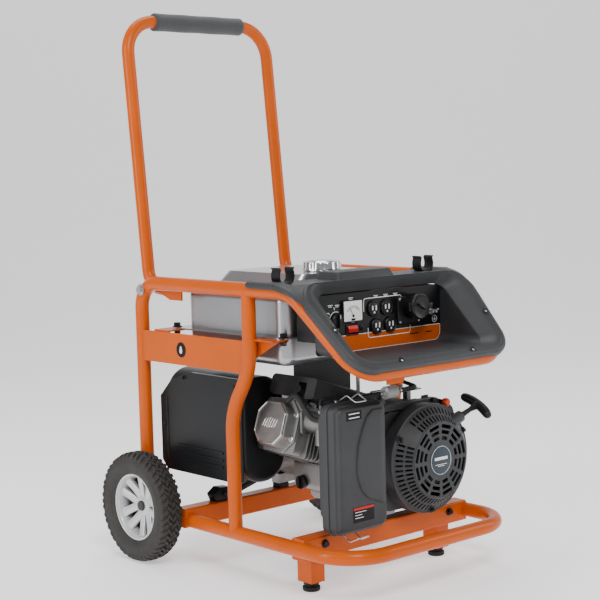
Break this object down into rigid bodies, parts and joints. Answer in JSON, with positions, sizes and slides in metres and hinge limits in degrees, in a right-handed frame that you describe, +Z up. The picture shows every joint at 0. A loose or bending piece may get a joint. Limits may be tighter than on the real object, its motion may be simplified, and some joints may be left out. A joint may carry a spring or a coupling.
{
  "type": "portable generator",
  "caption": "Portable petrol generator in an orange tube frame with wheels, a folding handle, a hooded control panel and a recoil starter.",
  "frame": {"origin": "on the floor under the middle of the whole machine's box, handle up", "axes": "+X along the control panel, to the right for someone facing it; +Y from the panel to the wheels and handle; +Z up"},
  "size_m": [0.66, 0.8132, 1.2695],
  "materials": {
    "frame_orange": "smooth orange powder coat",
    "tyre_rubber": "matt rubber",
    "rim_grey": "light grey moulded rim",
    "rubber": "matt black rubber",
    "grip_foam": "dark grey foam",
    "zinc_steel": "zinc plated",
    "black_steel": "satin black paint",
    "grey_plastic": "dark grey textured moulding",
    "black_plastic": "black moulding",
    "panel_face": "black panel with an orange band",
    "meter_face": "pale dial under clear plastic",
    "tank_silver": "silver paint",
    "cap_chrome": "bright plating",
    "cast_aluminium": "as cast",
    "cast_iron": "machined iron",
    "copper_windings": "laminations with varnished copper",
    "filter_foam": "oiled foam",
    "red_plastic": "red rocker",
    "knob_orange": "orange knob",
    "hose_rubber": "rubber hose"
  },
  "bodies": {
    "chassis": {"base_loop": "frame_orange", "rear_crossbar": "frame_orange", "front_crossbar": "frame_orange", "side_tube_left": "frame_orange", "side_tube_right": "frame_orange", "front_cross_tube": "frame_orange", "front_posts": "frame_orange", "side_plates": "frame_orange", "tank_brackets": "frame_orange", "front_legs": "frame_orange", "frame_brackets": "frame_orange", "leg_feet": "rubber", "engine_mounts": "rubber", "axle_bolts": "zinc_steel", "handle_pivot_bolts": "zinc_steel", "handle_clips": "black_plastic", "tank_upper_shell": "tank_silver", "tank_lower_shell": "tank_silver", "fuel_line": "hose_rubber", "panel_bezel": "grey_plastic", "panel_plate": "panel_face", "panel_back_cover": "black_plastic", "outlets": "black_plastic", "locking_outlet": "black_plastic", "voltmeter": "meter_face", "panel_screws": "zinc_steel", "crankcase": "cast_aluminium", "cylinder_head": "cast_aluminium", "valve_cover": "cast_aluminium", "fan_shroud": "grey_plastic", "recoil_cover": "grey_plastic", "stator": "copper_windings", "alternator_housing": "cast_aluminium", "alternator_end_cover": "black_plastic", "air_box_body": "grey_plastic", "air_box_cover": "grey_plastic", "air_filter": "filter_foam", "carburetor": "cast_aluminium", "muffler": "black_steel", "muffler_shield": "black_steel", "spark_plug": "rubber", "breather_hose": "hose_rubber"},
    "handle": {"handle_tube": "frame_orange", "handle_grip": "grip_foam"},
    "wheel_left": {"tyre_left": "tyre_rubber", "rim_left": "rim_grey"},
    "wheel_right": {"tyre_right": "tyre_rubber", "rim_right": "rim_grey"},
    "crank_rotor": {"crankshaft": "cast_iron", "flywheel_fan": "cast_iron", "rotor": "copper_windings"},
    "recoil_pulley": {"recoil_pulley": "black_plastic"},
    "starter_grip": {"starter_grip": "black_plastic"},
    "fuel_cap": {"fuel_cap": "cap_chrome"},
    "engine_switch": {"engine_switch": "black_plastic"},
    "breaker_rocker": {"breaker_rocker": "red_plastic"},
    "choke_lever": {"choke_lever": "knob_orange"},
    "latch_top": {"latch_top": "zinc_steel"},
    "latch_bottom": {"latch_bottom": "zinc_steel"},
    "oil_dipstick": {"oil_dipstick": "black_plastic"}
  },
  "joints": [
    {"name": "handle_fold", "type": "hinge", "parent": "chassis", "child": "handle", "pos_m": [0, 0.28545, 0.6235], "axis": [1, 0, 0], "range_deg": [0, 94.4]},
    {"name": "wheel_left_spin", "type": "hinge", "parent": "chassis", "child": "wheel_left", "pos_m": [-0.3, 0.26215, 0.127], "axis": [1, 0, 0], "continuous": true},
    {"name": "wheel_right_spin", "type": "hinge", "parent": "chassis", "child": "wheel_right", "pos_m": [0.3, 0.26215, 0.127], "axis": [1, 0, 0], "continuous": true},
    {"name": "crank_spin", "type": "hinge", "parent": "chassis", "child": "crank_rotor", "pos_m": [0.082, -0.08385, 0.254], "axis": [0, 1, 0], "continuous": true},
    {"name": "starter_pull", "type": "slide", "parent": "chassis", "child": "starter_grip", "axis": [0.9511, 0, 0.309], "range_m": [0, 0.5], "stiffness_N_per_m": 20, "springref_m": -0.5},
    {"name": "recoil_pulley_spin", "type": "hinge", "parent": "chassis", "child": "recoil_pulley", "pos_m": [0.082, -0.29985, 0.254], "axis": [0, 1, 0], "range_deg": [0, 573]},
    {"name": "fuel_cap_turn", "type": "hinge", "parent": "chassis", "child": "fuel_cap", "pos_m": [0, -0.04585, 0.67], "axis": [0, 0, 1], "range_deg": [0, 90]},
    {"name": "engine_switch_turn", "type": "hinge", "parent": "chassis", "child": "engine_switch", "pos_m": [-0.131, -0.22885, 0.571], "axis": [0, -1, 0], "range_deg": [-45, 45]},
    {"name": "breaker_rock", "type": "hinge", "parent": "chassis", "child": "breaker_rocker", "pos_m": [-0.085, -0.22485, 0.549], "axis": [1, 0, 0], "range_deg": [0, 20]},
    {"name": "choke_turn", "type": "hinge", "parent": "chassis", "child": "choke_lever", "pos_m": [0.13, -0.23385, 0.374], "axis": [0, -1, 0], "range_deg": [0, 50]},
    {"name": "latch_top_swing", "type": "hinge", "parent": "chassis", "child": "latch_top", "pos_m": [-0.158, -0.27685, 0.4105], "axis": [-1, 0, 0], "range_deg": [0, 100]},
    {"name": "latch_bottom_swing", "type": "hinge", "parent": "chassis", "child": "latch_bottom", "pos_m": [-0.158, -0.27685, 0.1335], "axis": [1, 0, 0], "range_deg": [0, 100]},
    {"name": "dipstick_unscrew", "type": "hinge", "parent": "chassis", "child": "oil_dipstick", "pos_m": [-0.09, -0.06185, 0.196], "axis": [-1, 0, 0], "range_deg": [0, 720]}
  ],
  "couplings": [
    {"joint": "recoil_pulley_spin", "follows": "starter_pull", "rad_per_m": 20}
  ]
}
